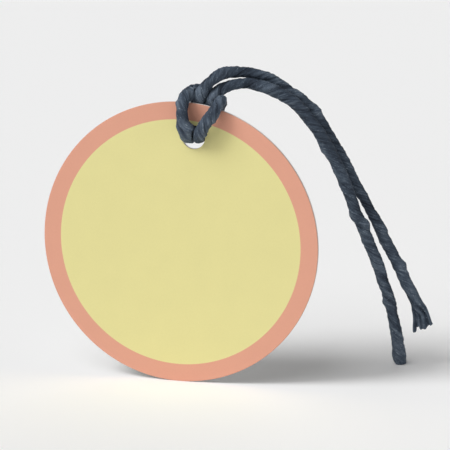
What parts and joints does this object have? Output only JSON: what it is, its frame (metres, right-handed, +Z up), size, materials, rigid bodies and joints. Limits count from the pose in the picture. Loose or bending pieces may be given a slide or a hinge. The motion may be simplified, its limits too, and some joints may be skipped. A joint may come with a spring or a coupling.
{
  "type": "round hang tag",
  "caption": "Flat round cardboard hang tag with a plain printed border, a punched hole near the rim and a looped cord of twisted paper.",
  "frame": {"origin": "lowest point of the card's rim, in the middle of the card's thickness", "axes": "+Z up through the card's centre, -Y out of the printed front, +X to the right of the front"},
  "size_m": [0.0786, 0.0317, 0.0667],
  "materials": {
    "grey_board": "solid grey paperboard, cut edge, matte",
    "coral_print": "uncoated paper printed coral, matte",
    "yellow_print": "uncoated paper printed pale yellow, matte",
    "white_paper": "uncoated white paper, matte",
    "twisted_paper": "slate blue paper twisted into a cord, matte"
  },
  "bodies": {
    "card": {"board_core": "grey_board", "front_border": "coral_print", "front_centre": "yellow_print", "back_sheet": "white_paper"},
    "knot": {"cord_knot": "twisted_paper"},
    "long_end": {"cord_long_end": "twisted_paper"},
    "short_end": {"cord_short_end": "twisted_paper", "frayed_tip": "twisted_paper"}
  },
  "joints": [
    {"name": "knot_tilt", "type": "hinge", "parent": "card", "child": "knot", "pos_m": [0.0038, 0, 0.0574], "axis": [0.9905, 0, -0.1374], "range_deg": [0, 8]},
    {"name": "long_end_swing", "type": "hinge", "parent": "knot", "child": "long_end", "pos_m": [0.01019, 0.00463, 0.06328], "axis": [0, 0, 1], "range_deg": [-15, 0]},
    {"name": "short_end_swing", "type": "hinge", "parent": "knot", "child": "short_end", "pos_m": [0.00508, 0.00206, 0.06307], "axis": [0, 0, 1], "range_deg": [0, 15]}
  ]
}
